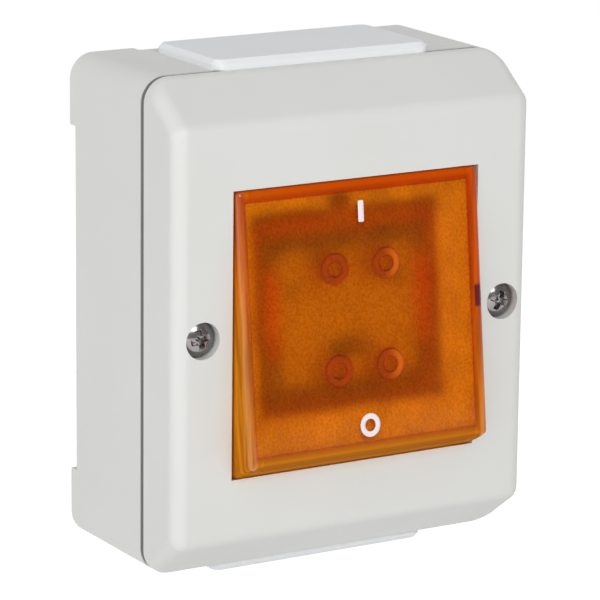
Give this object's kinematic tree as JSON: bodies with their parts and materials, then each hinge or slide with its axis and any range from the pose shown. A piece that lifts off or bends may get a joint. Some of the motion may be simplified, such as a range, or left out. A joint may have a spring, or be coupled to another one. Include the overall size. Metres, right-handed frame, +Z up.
{
  "type": "outdoor weatherproof switch",
  "caption": "Surface-mounted weatherproof switch: sealed box with sloped cover, cable entry plates and a large translucent amber rocker marked I and O.",
  "frame": {"origin": "wall plane, midway between the two wall-screw holes", "axes": "+X right seen from the front, +Y into the wall, +Z up"},
  "size_m": [0.08, 0.0493, 0.102],
  "materials": {
    "enclosure_plastic": "light grey moulded ABS, fine satin",
    "entry_plastic": "white moulded polypropylene, satin",
    "seal_rubber": "dark grey EPDM",
    "amber_plastic": "amber translucent polycarbonate, gloss outside, frosted inside",
    "carrier_plastic": "natural polyamide",
    "mechanism_plastic": "dark grey glass-filled polyamide",
    "lamp_glass": "clear glass",
    "zinc_steel": "zinc-plated pressed steel",
    "screw_steel": "zinc-plated steel",
    "spring_steel": "stainless spring wire",
    "contact_copper": "copper alloy with silver rivet",
    "terminal_brass": "plain brass"
  },
  "bodies": {
    "enclosure": {"base_box": "enclosure_plastic", "cable_entry_bottom": "entry_plastic", "cable_entry_top": "entry_plastic", "clamp_lower_left": "terminal_brass", "clamp_lower_right": "terminal_brass", "clamp_screw_lower_left": "screw_steel", "clamp_screw_lower_right": "screw_steel", "clamp_screw_upper_left": "screw_steel", "clamp_screw_upper_right": "screw_steel", "clamp_upper_left": "terminal_brass", "clamp_upper_right": "terminal_brass", "cover_gasket": "seal_rubber", "cover_screw_left": "screw_steel", "cover_screw_right": "screw_steel", "earth_screw": "screw_steel", "earth_terminal": "terminal_brass", "frame_screws": "screw_steel", "front_cover": "enclosure_plastic", "glow_lamp": "lamp_glass", "line_strip_left": "terminal_brass", "line_strip_right": "terminal_brass", "load_strip_left": "terminal_brass", "load_strip_right": "terminal_brass", "mechanism_base": "mechanism_plastic", "mounting_frame": "zinc_steel", "screw_seal_left": "seal_rubber", "screw_seal_right": "seal_rubber", "switch_housing": "mechanism_plastic", "threaded_insert_left": "terminal_brass", "threaded_insert_right": "terminal_brass", "window_seal": "seal_rubber"},
    "rocker": {"rocker_cap": "amber_plastic", "rocker_carrier": "carrier_plastic", "plunger_spring_left": "spring_steel", "plunger_spring_right": "spring_steel"},
    "plunger_left": {"plunger_left": "carrier_plastic"},
    "plunger_right": {"plunger_right": "carrier_plastic"},
    "contact_left": {"contact_left": "contact_copper"},
    "contact_right": {"contact_right": "contact_copper"}
  },
  "joints": [
    {"name": "rocker_tilt", "type": "hinge", "parent": "enclosure", "child": "rocker", "pos_m": [0, -0.032, 0], "axis": [1, 0, 0], "range_deg": [0, 13]},
    {"name": "plunger_left_slide", "type": "slide", "parent": "rocker", "child": "plunger_left", "axis": [0, -0.9936, 0.1132], "range_m": [0, 0.0015], "stiffness_N_per_m": 800, "springref_m": -0.004, "deforming": ["plunger_spring_left"]},
    {"name": "contact_left_tilt", "type": "hinge", "parent": "enclosure", "child": "contact_left", "pos_m": [-0.008, -0.0145, 0], "axis": [1, 0, 0], "range_deg": [-12, 0]},
    {"name": "plunger_right_slide", "type": "slide", "parent": "rocker", "child": "plunger_right", "axis": [0, -0.9936, 0.1132], "range_m": [0, 0.0015], "stiffness_N_per_m": 800, "springref_m": -0.004, "deforming": ["plunger_spring_right"]},
    {"name": "contact_right_tilt", "type": "hinge", "parent": "enclosure", "child": "contact_right", "pos_m": [0.008, -0.0145, 0], "axis": [1, 0, 0], "range_deg": [-12, 0]}
  ],
  "couplings": [
    {"joint": "contact_left_tilt", "follows": "rocker_tilt", "ratio": -0.92307},
    {"joint": "contact_right_tilt", "follows": "rocker_tilt", "ratio": -0.92307}
  ]
}
